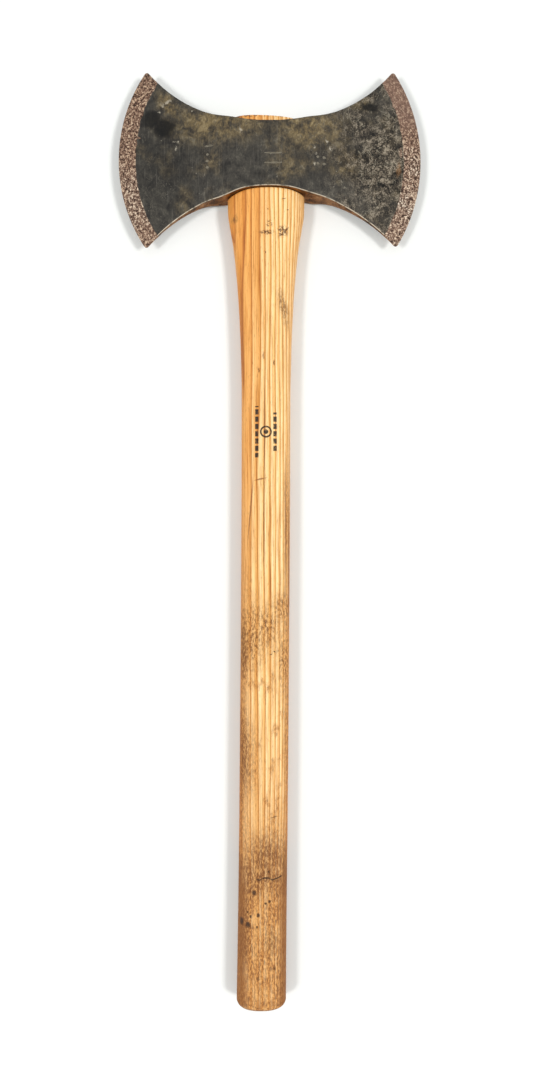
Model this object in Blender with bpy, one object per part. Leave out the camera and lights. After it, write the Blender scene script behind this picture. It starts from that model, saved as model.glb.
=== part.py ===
"""Double-bit felling axe: a forged head on a straight hickory haft, held by a wooden and a steel wedge.

The axe lies on one cheek. X runs along the haft, with the head at +X and the butt at -X.
The cutting edges are at +Y and -Y, the cheeks face +Z and -Z, and Z = 0 is the surface it lies on.
The origin is under the middle of the axe's box. All sizes are in metres.
"""

import math
from collections import namedtuple

import bmesh
import bpy
from mathutils import Vector

CLEARANCE = 0.0003  # gap between pieces that touch

# Head: two mirrored bits joined by the thick eye.
HEAD_TOP_X = 0.3912  # top of the eye, the side away from the haft
HEAD_BOTTOM_X = 0.3298  # bottom of the eye, which sits on the haft's shoulder
TOP_FLAT_HALF = 0.004  # half length of the straight stretch between the two upper waist arcs
LUG_SPREAD = 0.013  # of the two places beside the haft where the eye's lower rim hangs lower
EYE_HALF_THICKNESS = 0.014
MID_Z = EYE_HALF_THICKNESS
EDGE_REACH = 0.14305  # middle of each cutting edge from the head's centre line
BEVEL_START = 0.905  # share of a bit's length where the ground bevel begins
EDGE_BULGE_POWER = 2.25  # how quickly the cross lines bend into the edge's arc
ARRIS_RADIUS = 0.0014
CORNER_RADIUS = 0.0024  # of the four tips, where an edge meets the waist
CHEEK_CROWN = 0.06  # share of the thickness lost at a bit's top and bottom

Bit = namedtuple("Bit", "side top_arc bottom_arc top_corner_y bottom_corner_y lug_drop lug_y")
LEFT_BIT = Bit(1, 0.147, 0.152, 0.1165, 0.1170, 0.0028, 0.042)
RIGHT_BIT = Bit(-1, 0.149, 0.160, 0.1172, 0.1197, 0.0021, 0.037)

# Half thickness of the head against the share of the way from the centre line to the edge.
HEAD_THICKNESS = [
    (0.00, 0.0140), (0.27, 0.0140), (0.33, 0.0131), (0.39, 0.0110), (0.45, 0.0087), (0.52, 0.0067),
    (0.60, 0.0051), (0.70, 0.0037), (0.80, 0.0028), (0.905, 0.0022), (1.00, 0.00015),
]

# Eye: an oval through the head, a little wider at the top so that the wedges lock the haft.
HAFT_AXIS_Y = 0.0034  # the haft sits a little to one side of the head's centre line
EYE_HALF_LENGTH = 0.0305
EYE_BOTTOM_HALF_WIDTH = 0.0093
EYE_TOP_HALF_WIDTH = 0.0102
OVAL_POWER = 2.3

# Haft: (x, width, thickness) from the shoulder to the butt.
HAFT_STATIONS = [
    (0.317, 0.0726, 0.0240), (0.307, 0.0721, 0.0240), (0.293, 0.0680, 0.0242), (0.279, 0.0631, 0.0244),
    (0.265, 0.0595, 0.0246), (0.236, 0.0541, 0.0250), (0.208, 0.0506, 0.0252), (0.179, 0.0483, 0.0254),
    (0.132, 0.0463, 0.0255), (0.000, 0.0462, 0.0255), (-0.330, 0.0461, 0.0258), (-0.400, 0.0466, 0.0272),
    (-0.4420, 0.0470, 0.0280),
]
SHOULDER_CHAMFER = 0.0012
SHOULDER_CURVE_LENGTH = 0.030  # below the head, over which the rings flatten out again
BUTT_X = -0.4420
BUTT_ROUND_LENGTH = 0.0095
BUTT_ROUND_SIDE = 0.0115
BUTT_ROUND_CHEEK = 0.0060
BOW_START_X = 0.178
BOW = 0.0046  # sideways drift of the butt from the haft's own axis
BOW_POWER = 1.8
TONGUE_TOP_X = HEAD_TOP_X + 0.0062
TONGUE_TOP_SLOPE = 0.045  # the tongue was sawn off a little out of square
TONGUE_CHAMFER = 0.0008

# Wooden wedge, in a sawn kerf along the tongue, and the steel wedge driven across it.
KERF_BOTTOM_X = HEAD_TOP_X - 0.0400
KERF_BOTTOM_HALF = 0.0010
KERF_TOP_HALF = 0.0026
WOOD_WEDGE_HALF_LENGTH = 0.0294
WOOD_WEDGE_TIP_X = KERF_BOTTOM_X + 0.0030
STEEL_WEDGE_HALF_WIDTH = 0.0070
STEEL_WEDGE_TOP_X = TONGUE_TOP_X + 0.0004
STEEL_WEDGE_TIP_X = STEEL_WEDGE_TOP_X - 0.0268
STEEL_WEDGE_HALF_TOP = 0.0016
STEEL_WEDGE_HALF_TIP = 0.0004
BARB_COUNT = 3
BARB_DEPTH = 0.0003

CHEEK_STEPS = 12
BIT_STEPS = 16
BEVEL_STEPS = 4
HAFT_SIDES = 40
HAFT_STEPS = 46


def clear_scene():
    for old in list(bpy.data.objects):
        bpy.data.objects.remove(old)


def material(name, colour, roughness, metallic):
    made = bpy.data.materials.new(name)
    made.use_nodes = True
    shader = made.node_tree.nodes["Principled BSDF"]
    shader.inputs["Base Color"].default_value = (*colour, 1.0)
    shader.inputs["Roughness"].default_value = roughness
    shader.inputs["Metallic"].default_value = metallic
    return made


def add_object(name, points, faces, place, parent, finish=None):
    """A mesh object whose origin is at place; the points are given in the axe's own frame."""
    mesh = bpy.data.meshes.new(name)
    mesh.from_pydata([Vector(p) - place for p in points], [], faces)
    shaped = bmesh.new()
    shaped.from_mesh(mesh)
    bmesh.ops.recalc_face_normals(shaped, faces=shaped.faces)
    shaped.to_mesh(mesh)
    shaped.free()
    made = bpy.data.objects.new(name, mesh)
    bpy.context.scene.collection.objects.link(made)
    made.location = place
    made.parent = parent
    if finish:
        mesh.materials.append(finish)
    return made


def shade(piece, angle_degrees):
    piece.data.shade_smooth()
    piece.data.set_sharp_from_angle(angle=math.radians(angle_degrees))


def cut(piece, cutter):
    cutter.hide_render = True
    cutter.display_type = "WIRE"
    boolean = piece.modifiers.new(cutter.name, "BOOLEAN")
    boolean.operation = "DIFFERENCE"
    boolean.object = cutter


def between(low, high, share):
    return low + (high - low) * share


def smooth_through(stations, at):
    """A smooth curve through (position, value) stations, without overshoot between them."""
    rising = sorted(stations)
    at = min(max(at, rising[0][0]), rising[-1][0])
    slopes = [(b[1] - a[1]) / (b[0] - a[0]) for a, b in zip(rising, rising[1:])]
    tangents = [slopes[0]]
    for before, after in zip(slopes, slopes[1:]):
        tangents.append(0.0 if before * after <= 0 else 2 * before * after / (before + after))
    tangents.append(slopes[-1])
    index = next(i for i in range(len(slopes)) if at <= rising[i + 1][0])
    span = rising[index + 1][0] - rising[index][0]
    t = (at - rising[index][0]) / span
    return (
        rising[index][1] * (2 * t**3 - 3 * t**2 + 1)
        + tangents[index] * span * (t**3 - 2 * t**2 + t)
        + rising[index + 1][1] * (3 * t**2 - 2 * t**3)
        + tangents[index + 1] * span * (t**3 - t**2)
    )


def arc_drop(radius, distance):
    """How far a circle of that radius has fallen away from its tangent at that distance."""
    return radius - math.sqrt(radius**2 - distance**2)


def bridge_rings(rings):
    """Points and faces of a closed tube through rings of equal length, with a cap at each end."""
    count = len(rings[0])
    points = [p for ring in rings for p in ring]
    faces = []
    for row in range(len(rings) - 1):
        for i in range(count):
            j = (i + 1) % count
            a, b = row * count, (row + 1) * count
            faces.append((a + i, a + j, b + j, b + i))
    faces.append(tuple(range(count)))
    faces.append(tuple(range(len(points) - count, len(points))))
    return points, faces


# Head


def waist_x(y, top):
    """Where the head's top or bottom edge is, along X, at a distance y from the centre line."""
    bit = LEFT_BIT if y >= 0 else RIGHT_BIT
    if top:
        return HEAD_TOP_X + arc_drop(bit.top_arc, max(abs(y) - TOP_FLAT_HALF, 0.0))
    lug = bit.lug_drop * math.exp(-(((abs(y) - bit.lug_y) / LUG_SPREAD) ** 2))
    return HEAD_BOTTOM_X - arc_drop(bit.bottom_arc, abs(y)) - lug


def edge_bulge(bit, share, length):
    """How far the cutting edge stands out from the chord between its corners."""
    corner_y = between(bit.bottom_corner_y, bit.top_corner_y, 0.5)
    sagitta = EDGE_REACH - corner_y
    radius = (length**2 / 4 + sagitta**2) / (2 * sagitta)
    return sagitta - arc_drop(radius, abs(share - 0.5) * length)


def section_shares(length, arris):
    """Shares along a section's cheek, with extra points where the bit's tips turn."""
    near = [arris, CORNER_RADIUS * 0.5, CORNER_RADIUS, CORNER_RADIUS * 1.5]
    inner = [i / CHEEK_STEPS for i in range(1, CHEEK_STEPS)]
    start = [d / length for d in near]
    return start + inner + [1 - s for s in reversed(start)]


def tip_shift(from_edge, from_waist, edge_way, waist_way):
    """How a point near a tip moves so that the tip is round.

    The distances are along the waist and along the edge, and the two ways are the unit vectors
    that leave the tip along the edge and along the waist.
    """
    layer = min(from_edge, from_waist)
    radius = CORNER_RADIUS - layer
    run = max(from_edge, from_waist) - layer
    half_angle = edge_way.angle(waist_way) / 2
    reach = radius / math.tan(half_angle)
    if radius <= 0 or run >= reach:
        return Vector((0.0, 0.0))
    way = edge_way if from_waist > from_edge else waist_way
    middle = (edge_way + waist_way).normalized()
    centre = middle * (radius / math.sin(half_angle))
    turn = (1 - run / reach) * (math.pi / 2 - half_angle)
    spoke = (way * reach - centre).normalized()
    outward = (-middle - spoke * spoke.dot(-middle)).normalized()
    return centre + radius * (spoke * math.cos(turn) + outward * math.sin(turn)) - way * run


def outline_point(bit, along, share):
    """A point of the head's plan, before its tips are rounded."""
    bottom_y, top_y = along * bit.bottom_corner_y, along * bit.top_corner_y
    bottom_x = waist_x(bit.side * bottom_y, top=False)
    top_x = waist_x(bit.side * top_y, top=True)
    length = math.hypot(top_x - bottom_x, top_y - bottom_y)
    stand_out = edge_bulge(bit, share, length) * along**EDGE_BULGE_POWER
    x = between(bottom_x, top_x, share)
    return Vector((x, bit.side * (between(bottom_y, top_y, share) + stand_out)))


def plan_point(bit, along, share):
    """A point of the head's plan: along runs from the centre line to the edge, share from bottom to top."""
    point = outline_point(bit, along, share)
    end = round(share)
    tip = outline_point(bit, 1.0, end)
    edge_way = (outline_point(bit, 1.0, abs(end - 0.02)) - tip).normalized()
    waist_way = (outline_point(bit, 0.98, end) - tip).normalized()
    from_edge = (outline_point(bit, 1.0, share) - point).length
    from_waist = (outline_point(bit, along, end) - point).length
    return point + tip_shift(from_edge, from_waist, edge_way, waist_way)


def head_section(bit, along):
    """One closed section of a bit, across its thickness, at a share of the way to the edge."""
    length = (outline_point(bit, along, 1.0) - outline_point(bit, along, 0.0)).length
    half = smooth_through(HEAD_THICKNESS, along)
    arris = min(ARRIS_RADIUS, half * 0.5)
    crown = CHEEK_CROWN * min(max((along - 0.3) / 0.3, 0.0), 1.0)

    def place(share, height):
        level = height * (1 - crown * (2 * share - 1) ** 2)
        return Vector((*plan_point(bit, along, share), MID_Z + level))

    rounding = [math.radians(a) for a in (0, 30, 60)]
    start = [(arris * (1 - math.cos(a)) / length, half - arris + arris * math.sin(a)) for a in rounding]
    cheek = [(share, half) for share in section_shares(length, arris)]
    end = [(1 - share, height) for share, height in reversed(start)]
    upper = start + cheek + end
    lower = [(share, -height) for share, height in reversed(upper)]
    return [place(share, height) for share, height in upper + lower]


def edge_cap(count, first):
    """Faces that close a cutting edge, whose section is a thin closed strip."""
    half = count // 2
    return [(first + i, first + i + 1, first + count - 2 - i, first + count - 1 - i) for i in range(half - 1)]


def bit_shares():
    cheek = [BEVEL_START * i / BIT_STEPS for i in range(1, BIT_STEPS + 1)]
    bevel = [between(BEVEL_START, 1.0, i / BEVEL_STEPS) for i in range(1, BEVEL_STEPS)]
    return cheek + bevel + [0.99, 1.0]


def eye_oval(x, grow=0.0):
    share = (x - HEAD_BOTTOM_X) / (HEAD_TOP_X - HEAD_BOTTOM_X)
    half_width = between(EYE_BOTTOM_HALF_WIDTH, EYE_TOP_HALF_WIDTH, share)
    return oval(x, HAFT_AXIS_Y, EYE_HALF_LENGTH + grow, half_width + grow)


def oval(x, centre_y, half_y, half_z):
    """A superellipse across X, as a list of points."""
    ring = []
    for i in range(HAFT_SIDES):
        angle = 2 * math.pi * i / HAFT_SIDES
        c, s = math.cos(angle), math.sin(angle)
        y = math.copysign(abs(c) ** (2 / OVAL_POWER), c) * half_y
        z = math.copysign(abs(s) ** (2 / OVAL_POWER), s) * half_z
        ring.append(Vector((x, centre_y + y, MID_Z + z)))
    return ring


def build_head(parent):
    shares = bit_shares()
    sections = [head_section(RIGHT_BIT, s) for s in reversed(shares)]
    sections.append(head_section(LEFT_BIT, 0.0))
    sections += [head_section(LEFT_BIT, s) for s in shares]
    points, faces = bridge_rings(sections)
    count = len(sections[0])
    faces = faces[:-2] + edge_cap(count, 0) + edge_cap(count, len(points) - count)
    steel = material("forged_steel", (0.045, 0.043, 0.040), 0.5, 0.85)
    place = Vector((HEAD_BOTTOM_X, 0.0, MID_Z))
    head = add_object("axe_head", points, faces, place, parent, steel)
    margin = 0.012
    rings = [eye_oval(HEAD_BOTTOM_X - margin), eye_oval(HEAD_TOP_X + margin)]
    cut(head, add_object("eye_cutter", *bridge_rings(rings), place, parent))
    shade(head, 35)
    return head


# Haft


def haft_ring(x, inset_y=0.0, inset_z=0.0):
    width = smooth_through([(s[0], s[1]) for s in HAFT_STATIONS], x)
    thickness = smooth_through([(s[0], s[2]) for s in HAFT_STATIONS], x)
    drift = BOW * max((BOW_START_X - x) / (BOW_START_X - BUTT_X), 0.0) ** BOW_POWER
    return oval(x, HAFT_AXIS_Y + drift, width / 2 - inset_y, thickness / 2 - inset_z)


def follow_head(ring, x, strength=1.0):
    """Bends a ring to the curve of the head's bottom edge; x is where it meets the centre line."""
    for point in ring:
        point.x = x + strength * (waist_x(point.y, top=False) - HEAD_BOTTOM_X)
    return ring


def haft_rings():
    rings = []
    for degrees in (0, 18, 36, 54, 72):
        a = math.radians(degrees)
        x = BUTT_X + BUTT_ROUND_LENGTH * (1 - math.sin(math.radians(90 - degrees)))
        shrink = 1 - math.sin(a)
        rings.append(haft_ring(x, BUTT_ROUND_SIDE * shrink, BUTT_ROUND_CHEEK * shrink))
    start = BUTT_X + BUTT_ROUND_LENGTH
    shoulder = HEAD_BOTTOM_X - CLEARANCE
    for i in range(HAFT_STEPS):
        share = i / HAFT_STEPS
        x = between(start, shoulder - SHOULDER_CHAMFER, 1 - (1 - share) ** 1.3)
        bend = max(1 - (shoulder - x) / SHOULDER_CURVE_LENGTH, 0.0) ** 2
        rings.append(follow_head(haft_ring(x), x, bend))
    rings.append(follow_head(haft_ring(shoulder), shoulder - SHOULDER_CHAMFER))
    rings.append(follow_head(haft_ring(shoulder, SHOULDER_CHAMFER, SHOULDER_CHAMFER), shoulder))
    return rings


def tongue_rings():
    rings = [follow_head(eye_oval(HEAD_BOTTOM_X, -CLEARANCE), HEAD_BOTTOM_X - CLEARANCE)]
    for x in (HEAD_BOTTOM_X + 0.004, between(HEAD_BOTTOM_X, HEAD_TOP_X, 0.5), HEAD_TOP_X):
        rings.append(eye_oval(x, -CLEARANCE))
    for below, inset in ((TONGUE_CHAMFER, 0.0), (0.0, TONGUE_CHAMFER)):
        ring = eye_oval(HEAD_TOP_X, -CLEARANCE - inset)
        for point in ring:
            point.x = TONGUE_TOP_X - below + TONGUE_TOP_SLOPE * (point.y - HAFT_AXIS_Y)
        rings.append(ring)
    return rings


def slab(levels, half_length, centre_y=HAFT_AXIS_Y):
    """A tapered slab along Y from (x, half thickness) levels."""
    rings = []
    for x, half in levels:
        corners = [(-half_length, -half), (half_length, -half), (half_length, half), (-half_length, half)]
        rings.append([Vector((x, centre_y + y, MID_Z + z)) for y, z in corners])
    return bridge_rings(rings)


def kerf_half(x):
    return between(KERF_BOTTOM_HALF, KERF_TOP_HALF, (x - KERF_BOTTOM_X) / (TONGUE_TOP_X - KERF_BOTTOM_X))


def steel_slot(grow_y, grow_z):
    """The room that the steel wedge needs, as a tapered block across the tongue."""
    tip = STEEL_WEDGE_TIP_X - CLEARANCE * 2
    top = TONGUE_TOP_X + 0.004
    rings = []
    for x in (tip, top):
        share = (x - STEEL_WEDGE_TIP_X) / (STEEL_WEDGE_TOP_X - STEEL_WEDGE_TIP_X)
        half_y = between(STEEL_WEDGE_HALF_TIP, STEEL_WEDGE_HALF_TOP, share) + grow_y
        half_z = STEEL_WEDGE_HALF_WIDTH + grow_z
        corners = [(-half_y, -half_z), (half_y, -half_z), (half_y, half_z), (-half_y, half_z)]
        rings.append([Vector((x, HAFT_AXIS_Y + y, MID_Z + z)) for y, z in corners])
    return bridge_rings(rings)


def build_haft(parent):
    hickory = material("hickory", (0.70, 0.42, 0.17), 0.55, 0.0)
    place = Vector((HEAD_BOTTOM_X, HAFT_AXIS_Y, MID_Z))
    haft = add_object("haft", *bridge_rings(haft_rings() + tongue_rings()), place, parent, hickory)
    above = TONGUE_TOP_X + 0.004
    kerf = slab([(KERF_BOTTOM_X, kerf_half(KERF_BOTTOM_X)), (above, kerf_half(above))], EYE_HALF_LENGTH * 1.2)
    cut(haft, add_object("kerf_cutter", *kerf, place, parent))
    cut(haft, add_object("haft_slot_cutter", *steel_slot(CLEARANCE, CLEARANCE), place, parent))
    shade(haft, 40)
    return haft


# Wedges


def build_wooden_wedge(parent):
    pale_wood = material("wedge_wood", (0.62, 0.44, 0.24), 0.7, 0.0)
    levels = [(x, kerf_half(x) - CLEARANCE) for x in (WOOD_WEDGE_TIP_X, TONGUE_TOP_X - 0.0006)]
    place = Vector((TONGUE_TOP_X, HAFT_AXIS_Y, MID_Z))
    wedge = add_object("eye_wedge", *slab(levels, WOOD_WEDGE_HALF_LENGTH), place, parent, pale_wood)
    cut(wedge, add_object("wedge_slot_cutter", *steel_slot(CLEARANCE, 0.004), place, parent))
    return wedge


def steel_wedge_profile():
    """Half outline of the steel wedge from tip to top: each barb steps back in above its crest."""
    length = STEEL_WEDGE_TOP_X - STEEL_WEDGE_TIP_X
    profile = [(STEEL_WEDGE_TIP_X, STEEL_WEDGE_HALF_TIP)]
    for i in range(1, BARB_COUNT + 1):
        share = i / (BARB_COUNT + 1)
        x = STEEL_WEDGE_TIP_X + length * share
        half = between(STEEL_WEDGE_HALF_TIP, STEEL_WEDGE_HALF_TOP, share)
        profile += [(x, half), (x + 0.0004, half - BARB_DEPTH)]
    profile.append((STEEL_WEDGE_TOP_X, STEEL_WEDGE_HALF_TOP))
    return profile


def build_steel_wedge(parent):
    bright = material("wedge_steel", (0.32, 0.31, 0.30), 0.4, 0.9)
    profile = steel_wedge_profile()
    outline = [(x, -half) for x, half in profile] + [(x, half) for x, half in reversed(profile)]
    rings = [
        [Vector((x, HAFT_AXIS_Y + y, MID_Z + side * STEEL_WEDGE_HALF_WIDTH)) for x, y in outline]
        for side in (-1, 1)
    ]
    place = Vector((STEEL_WEDGE_TOP_X, HAFT_AXIS_Y, MID_Z))
    return add_object("steel_wedge", *bridge_rings(rings), place, parent, bright)


def main():
    clear_scene()
    axe = bpy.data.objects.new("double_bit_axe", None)
    bpy.context.scene.collection.objects.link(axe)
    build_head(axe)
    build_haft(axe)
    build_wooden_wedge(axe)
    build_steel_wedge(axe)


main()
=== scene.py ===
"""The look of a double-bit felling axe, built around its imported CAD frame.

The axe lies on one cheek. X runs along the haft with the head at +X, the cutting edges are at +Y
and -Y, and the cheeks face +Z and -Z. The left bit is the one at +Y. Each CAD node is stood for by
a denser piece of the same size, with forging marks, grain, dents and wear. All sizes are in metres.
"""

import math
from collections import namedtuple

import bmesh
import bpy
import numpy as np
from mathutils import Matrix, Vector, kdtree, noise


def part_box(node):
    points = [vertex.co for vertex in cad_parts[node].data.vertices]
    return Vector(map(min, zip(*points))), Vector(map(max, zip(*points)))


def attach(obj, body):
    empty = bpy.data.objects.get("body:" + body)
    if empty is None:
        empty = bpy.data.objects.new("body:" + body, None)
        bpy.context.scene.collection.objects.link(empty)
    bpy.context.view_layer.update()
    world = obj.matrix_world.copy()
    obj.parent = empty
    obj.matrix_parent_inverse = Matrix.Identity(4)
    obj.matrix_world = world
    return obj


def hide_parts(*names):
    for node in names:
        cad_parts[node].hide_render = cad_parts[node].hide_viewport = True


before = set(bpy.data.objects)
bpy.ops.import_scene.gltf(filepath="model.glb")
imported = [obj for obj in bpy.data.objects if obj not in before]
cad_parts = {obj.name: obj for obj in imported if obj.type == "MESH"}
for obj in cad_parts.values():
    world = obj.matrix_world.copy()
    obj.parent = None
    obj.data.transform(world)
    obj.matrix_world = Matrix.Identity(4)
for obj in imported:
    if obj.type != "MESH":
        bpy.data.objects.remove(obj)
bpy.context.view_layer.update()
HEAD_LOW, HEAD_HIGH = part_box("axe_head")
HAFT_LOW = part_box("haft")[0]
STEEL_WEDGE_LOW, STEEL_WEDGE_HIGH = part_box("steel_wedge")
EYE_WEDGE_LOW, EYE_WEDGE_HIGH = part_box("eye_wedge")

CLEARANCE = 0.0003
MID_Z = (HEAD_LOW.z + HEAD_HIGH.z) / 2
EDGE_REACH = HEAD_HIGH.y

# Head, as the frame has it: two bits that share one thick eye.
HEAD_TOP_X = 0.3912
HEAD_BOTTOM_X = 0.3298
TOP_FLAT_HALF = 0.004
LUG_SPREAD = 0.013
BEVEL_START = 0.905
EDGE_BULGE_POWER = 2.25
ARRIS_RADIUS = 0.0014
CORNER_RADIUS = 0.0024
CHEEK_CROWN = 0.06
EDGE_HALF = 0.00015
BEVEL_HALF = 0.0022
Bit = namedtuple("Bit", "side top_arc bottom_arc top_corner_y bottom_corner_y lug_drop lug_y")
LEFT_BIT = Bit(1, 0.147, 0.152, 0.1165, 0.1170, 0.0028, 0.042)
RIGHT_BIT = Bit(-1, 0.149, 0.160, 0.1172, 0.1197, 0.0021, 0.037)
CHEEK_THICKNESS = [
    (0.00, 0.0140), (0.27, 0.0140), (0.33, 0.0131), (0.39, 0.0110), (0.45, 0.0087), (0.52, 0.0067),
    (0.60, 0.0051), (0.70, 0.0037), (0.80, 0.0028), (0.905, 0.0022), (1.00, 0.0018),
]

# Eye and haft, as the frame has them.
HAFT_AXIS_Y = 0.0034
EYE_HALF_LENGTH = 0.0305
EYE_BOTTOM_HALF_WIDTH = 0.0093
EYE_TOP_HALF_WIDTH = 0.0102
OVAL_POWER = 2.3
HAFT_WIDTH = [
    (0.317, 0.0726), (0.307, 0.0721), (0.293, 0.0680), (0.279, 0.0631), (0.265, 0.0595), (0.236, 0.0541),
    (0.208, 0.0506), (0.179, 0.0483), (0.132, 0.0463), (0.000, 0.0462), (-0.330, 0.0461), (-0.442, 0.0470),
]
HAFT_THICKNESS = [
    (0.317, 0.0240), (0.293, 0.0242), (0.236, 0.0250), (0.132, 0.0255), (0.000, 0.0255), (-0.330, 0.0258),
    (-0.400, 0.0272), (-0.442, 0.0280),
]
SHOULDER_CHAMFER = 0.0012
SHOULDER_CURVE_LENGTH = 0.030
BUTT_X = HAFT_LOW.x
BUTT_ROUND_LENGTH = 0.0083  # this and the side's rounding leave the butt a little fuller than the frame's
BUTT_ROUND_SIDE = 0.0098
BUTT_ROUND_CHEEK = 0.0060
BOW_START_X = 0.178
BOW = 0.0046
BOW_POWER = 1.8
TONGUE_TOP_X = HEAD_TOP_X + 0.0062
TONGUE_TOP_SLOPE = 0.045
TONGUE_CHAMFER = 0.0008

# Wedges, as the frame has them.
KERF_BOTTOM_X = HEAD_TOP_X - 0.0400
KERF_BOTTOM_HALF = 0.0010
KERF_TOP_HALF = 0.0026
WOOD_WEDGE_HALF_LENGTH = 0.0294
STEEL_WEDGE_HALF_TIP = 0.0004
STEEL_WEDGE_HALF_TOP = STEEL_WEDGE_HIGH.y - HAFT_AXIS_Y
STEEL_WEDGE_HALF_WIDTH = STEEL_WEDGE_HIGH.z - MID_Z
BARB_COUNT = 3
BARB_DEPTH = 0.0003

# How finely the pieces are modelled.
CHEEK_POINTS = 116
ARRIS_POINTS = 6
WALL_POINTS = 10
CHEEK_SECTIONS = 104
BEVEL_SECTIONS = 40
HAFT_SIDES = 128
HAFT_RINGS = 500

# How deep the surfaces are carved, and how wide the waves of the carving are.
FORGING_DEPTH, FORGING_WAVE = 0.00022, 0.030
HAMMER_DEPTH, HAMMER_WAVE = 0.00008, 0.007
SCALE_PIT_DEPTH, SCALE_PIT_WAVE = 0.00020, 0.0045
SPOKESHAVE_DEPTH, SPOKESHAVE_WAVE = 0.00015, 0.030
GRAIN_DEPTH, GRAIN_WAVE = 0.00006, 0.0022
DENT_DEPTH, DENT_MARGIN = 0.0005, 0.0008
CRACK_DEPTH = 0.0004
CRACK_X = -0.3165

# The stage: how far the lamps lean from straight overhead and how wide they look, in degrees.
LAMP_TILT, LAMP_ANGLE = 37.0, 12.0
CAMERA_HEIGHT = 0.765
CAMERA_X, CAMERA_Y = -0.00054, 0.0025


# Numbers and noise


def mix(low, high, share):
    return low + (high - low) * share


def ease(value, low, high):
    """0 below low, 1 above high, and smooth between; low may be the higher of the two."""
    share = np.clip((value - low) / (high - low), 0.0, 1.0)
    return share * share * (3 - 2 * share)


def smooth_through(stations, at):
    """A smooth curve through (position, value) stations, without overshoot between them."""
    position, value = np.array(sorted(stations)).T
    slopes = np.diff(value) / np.diff(position)
    products, sums = slopes[:-1] * slopes[1:], slopes[:-1] + slopes[1:]
    inner = np.where(products > 0, 2 * products / np.where(products > 0, sums, 1.0), 0.0)
    tangents = np.concatenate([slopes[:1], inner, slopes[-1:]])
    at = np.clip(at, position[0], position[-1])
    index = np.clip(np.searchsorted(position, at) - 1, 0, len(slopes) - 1)
    span = position[index + 1] - position[index]
    t = (at - position[index]) / span
    return (
        value[index] * (2 * t**3 - 3 * t**2 + 1)
        + tangents[index] * span * (t**3 - 2 * t**2 + t)
        + value[index + 1] * (3 * t**2 - 2 * t**3)
        + tangents[index + 1] * span * (t**3 - t**2)
    )


def field(points, size, octaves=1, stretch=(1, 1, 1), shift=0.0):
    """Smooth noise of about -1 to 1 at each point; size is the width of its waves."""
    scaled = points / (size * np.array(stretch)) + shift
    return np.array([noise.fractal(Vector(p), 0.7, 2.0, octaves) for p in scaled])


def unit(vector):
    return vector / np.linalg.norm(vector, axis=-1, keepdims=True)


# Meshes


def tube_faces(rows, columns):
    """Quads that join rows of points, each row closed on itself."""
    row, column = np.meshgrid(np.arange(rows - 1), np.arange(columns), indexing="ij")
    here, there = row * columns, (row + 1) * columns
    after = (column + 1) % columns
    return np.stack([here + column, here + after, there + after, there + column], -1).reshape(-1, 4).tolist()


def add_piece(name, points, faces):
    mesh = bpy.data.meshes.new(name)
    mesh.from_pydata(np.asarray(points).tolist(), [], faces)
    shaped = bmesh.new()
    shaped.from_mesh(mesh)
    bmesh.ops.recalc_face_normals(shaped, faces=shaped.faces)
    shaped.to_mesh(mesh)
    shaped.free()
    made = bpy.data.objects.new(name, mesh)
    bpy.context.scene.collection.objects.link(made)
    return made


def capped_tube(rings):
    """Points and faces of a closed tube through rings of equal length."""
    rings = np.asarray(rings)
    count = rings.shape[1]
    total = rings.shape[0] * count
    faces = tube_faces(rings.shape[0], count)
    faces.append(list(range(count)))
    faces.append(list(range(total - count, total)))
    return rings.reshape(-1, 3), faces


def join(parts):
    """Several (points, faces) shapes as one."""
    points, faces, first = [], [], 0
    for part_points, part_faces in parts:
        points.append(np.asarray(part_points))
        faces += [[first + i for i in face] for face in part_faces]
        first += len(part_points)
    return np.concatenate(points), faces


def places_of(piece):
    places = np.zeros(len(piece.data.vertices) * 3)
    piece.data.vertices.foreach_get("co", places)
    return places.reshape(-1, 3)


def carve(piece, depth):
    """Sinks each vertex along its normal by a depth that is never negative."""
    mesh = piece.data
    normals = np.zeros(len(mesh.vertices) * 3)
    mesh.vertex_normals.foreach_get("vector", normals)
    places = places_of(piece) - normals.reshape(-1, 3) * np.maximum(depth, 0.0)[:, None]
    mesh.vertices.foreach_set("co", places.ravel())
    mesh.update()


def store(piece, name, values):
    attribute = piece.data.attributes.new(name, "FLOAT", "POINT")
    attribute.data.foreach_set("value", np.asarray(values, np.float32).ravel())


def cut(piece, *cutters):
    """Takes each cutter, a (points, faces) shape, out of the piece, and says which vertices are new."""
    before = kdtree.KDTree(len(piece.data.vertices))
    for index, place in enumerate(places_of(piece)):
        before.insert(place, index)
    before.balance()
    kept = {}
    for layer in piece.data.attributes:
        if layer.data_type == "FLOAT":
            kept[layer.name] = np.zeros(len(layer.data), np.float32)
            layer.data.foreach_get("value", kept[layer.name])
    tools = []
    for points, faces in cutters:
        tool = add_piece("cutter", points, faces)
        boolean = piece.modifiers.new("cut", "BOOLEAN")
        boolean.operation = "DIFFERENCE"
        boolean.object = tool
        tools.append(tool)
    settle(piece)
    for tool in tools:
        bpy.data.objects.remove(tool)
    found = [before.find(place) for place in places_of(piece)]
    source = np.array([index for _, index, _ in found])
    for name, values in kept.items():
        piece.data.attributes[name].data.foreach_set("value", values[source])
    return np.array([distance for _, _, distance in found]) > 1e-6


def settle(piece):
    """Makes the piece's modifiers part of its mesh."""
    depsgraph = bpy.context.evaluated_depsgraph_get()
    shown = piece.evaluated_get(depsgraph)
    piece.data = bpy.data.meshes.new_from_object(shown, preserve_all_data_layers=True, depsgraph=depsgraph)
    piece.data.name = piece.name
    piece.modifiers.clear()


def hand_over(piece, node, finish, sharp_angle):
    """The piece stands for a CAD node, with its own finish."""
    piece.data.shade_smooth()
    piece.data.set_sharp_from_angle(angle=math.radians(sharp_angle))
    piece.data.materials.clear()
    piece.data.materials.append(finish)
    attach(piece, "root")
    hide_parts(node)
    return piece


# Material nodes


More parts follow.
